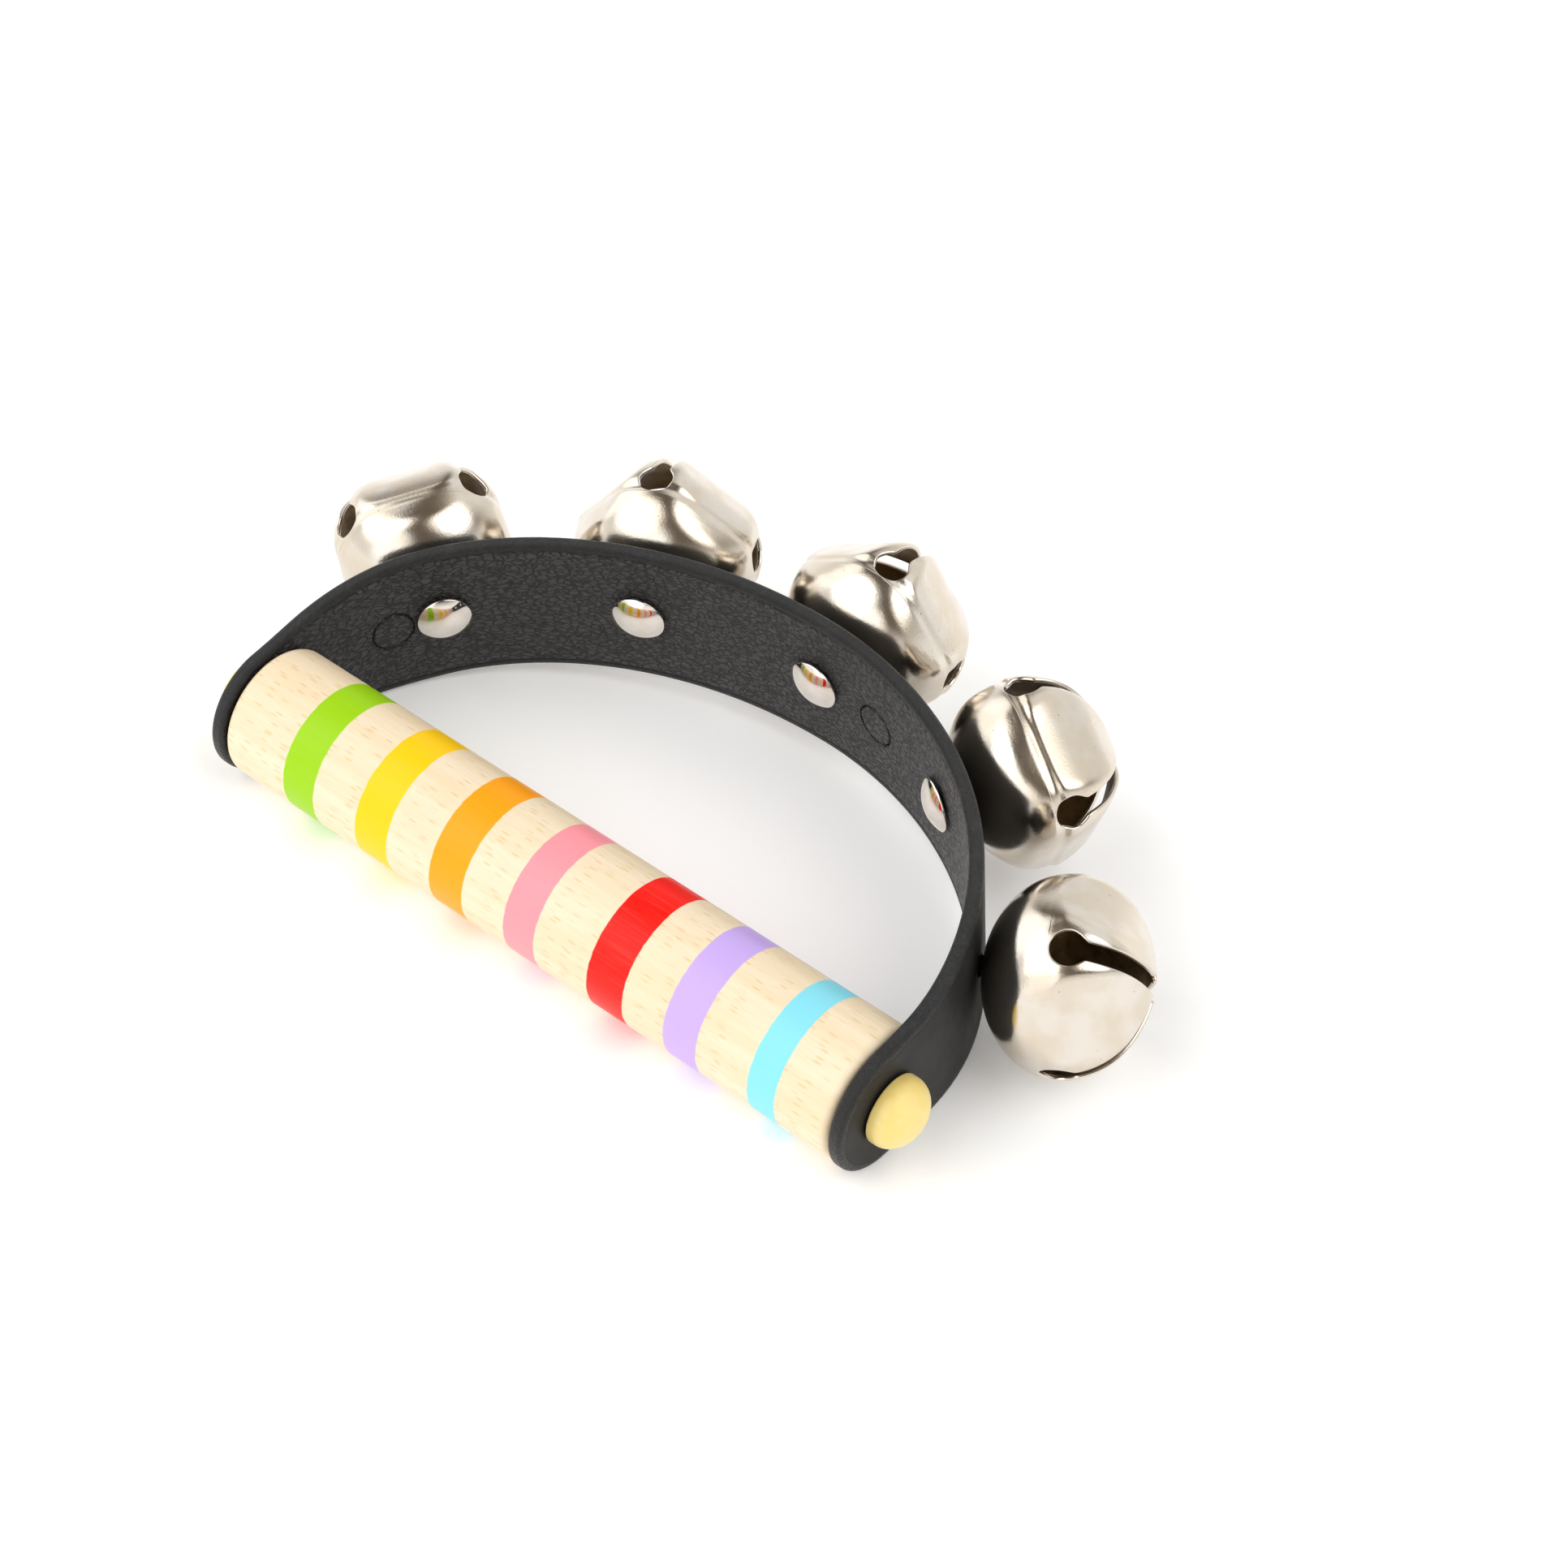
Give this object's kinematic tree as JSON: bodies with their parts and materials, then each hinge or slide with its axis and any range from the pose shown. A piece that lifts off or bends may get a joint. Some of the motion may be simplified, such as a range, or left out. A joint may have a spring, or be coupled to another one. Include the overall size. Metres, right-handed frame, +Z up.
{
  "type": "hand-held sleigh bells",
  "caption": "Toy hand bells: striped wooden stick with a bowed black strap across its ends and crossed-slot jingle bells riveted round the outside of the strap.",
  "frame": {"origin": "middle of the footprint's bounding box, on the level surface that the bells lie on", "axes": "+X along the stick from the green ring to the light blue ring, +Y from the stick towards the bells, +Z up"},
  "size_m": [0.162, 0.096, 0.036],
  "materials": {
    "beech": "satin-varnished beech with seven painted rings: green, yellow, orange, pink, red, lavender and light blue",
    "leatherette": "black leatherette, fine grain inside, smoother outside, with a sealed rounded edge",
    "peg_paint": "satin pale yellow paint on wood",
    "nickel": "bright nickel plate on pressed steel, warm tint, fine scratches",
    "rivet_nickel": "polished nickel plate",
    "pellet_steel": "dull steel ball"
  },
  "bodies": {
    "root": {"handle": "beech", "strap": "leatherette", "peg_left": "peg_paint", "peg_right": "peg_paint", "rivet_cap_1": "rivet_nickel", "rivet_cap_2": "rivet_nickel", "rivet_cap_3": "rivet_nickel", "rivet_cap_4": "rivet_nickel", "rivet_cap_5": "rivet_nickel", "rivet_post_1": "rivet_nickel", "rivet_post_2": "rivet_nickel", "rivet_post_3": "rivet_nickel", "rivet_post_4": "rivet_nickel", "rivet_post_5": "rivet_nickel"},
    "bell_1": {"bell_shell_1": "nickel"},
    "pellet_1": {"pellet_1": "pellet_steel"},
    "bell_2": {"bell_shell_2": "nickel"},
    "pellet_2": {"pellet_2": "pellet_steel"},
    "bell_3": {"bell_shell_3": "nickel"},
    "pellet_3": {"pellet_3": "pellet_steel"},
    "bell_4": {"bell_shell_4": "nickel"},
    "pellet_4": {"pellet_4": "pellet_steel"},
    "bell_5": {"bell_shell_5": "nickel"},
    "pellet_5": {"pellet_5": "pellet_steel"}
  },
  "joints": [
    {"name": "bell_1_swivel", "type": "hinge", "parent": "root", "child": "bell_1", "pos_m": [-0.06771, 0.00302, 0.01614], "axis": [-0.8164, 0.5715, 0.0826], "continuous": true},
    {"name": "pellet_1_roll", "type": "hinge", "parent": "bell_1", "child": "pellet_1", "pos_m": [-0.06771, 0.00302, 0.01614], "axis": [-0.8164, 0.5715, 0.0826], "continuous": true},
    {"name": "bell_2_swivel", "type": "hinge", "parent": "root", "child": "bell_2", "pos_m": [-0.0365, 0.02722, 0.01964], "axis": [-0.3963, 0.9087, 0.1314], "continuous": true},
    {"name": "pellet_2_roll", "type": "hinge", "parent": "bell_2", "child": "pellet_2", "pos_m": [-0.0365, 0.02722, 0.01964], "axis": [-0.3963, 0.9087, 0.1314], "continuous": true},
    {"name": "bell_3_swivel", "type": "hinge", "parent": "root", "child": "bell_3", "pos_m": [0.00082, 0.03481, 0.02074], "axis": [-0.0116, 0.9896, 0.1431], "continuous": true},
    {"name": "pellet_3_roll", "type": "hinge", "parent": "bell_3", "child": "pellet_3", "pos_m": [0.00082, 0.03481, 0.02074], "axis": [-0.0116, 0.9896, 0.1431], "continuous": true},
    {"name": "bell_4_swivel", "type": "hinge", "parent": "root", "child": "bell_4", "pos_m": [0.03893, 0.02558, 0.0194], "axis": [0.4754, 0.8707, 0.1259], "continuous": true},
    {"name": "pellet_4_roll", "type": "hinge", "parent": "bell_4", "child": "pellet_4", "pos_m": [0.03893, 0.02558, 0.0194], "axis": [0.4754, 0.8707, 0.1259], "continuous": true},
    {"name": "bell_5_swivel", "type": "hinge", "parent": "root", "child": "bell_5", "pos_m": [0.06744, -0.00222, 0.01538], "axis": [0.8793, 0.4713, 0.0681], "continuous": true},
    {"name": "pellet_5_roll", "type": "hinge", "parent": "bell_5", "child": "pellet_5", "pos_m": [0.06744, -0.00222, 0.01538], "axis": [0.8793, 0.4713, 0.0681], "continuous": true}
  ]
}
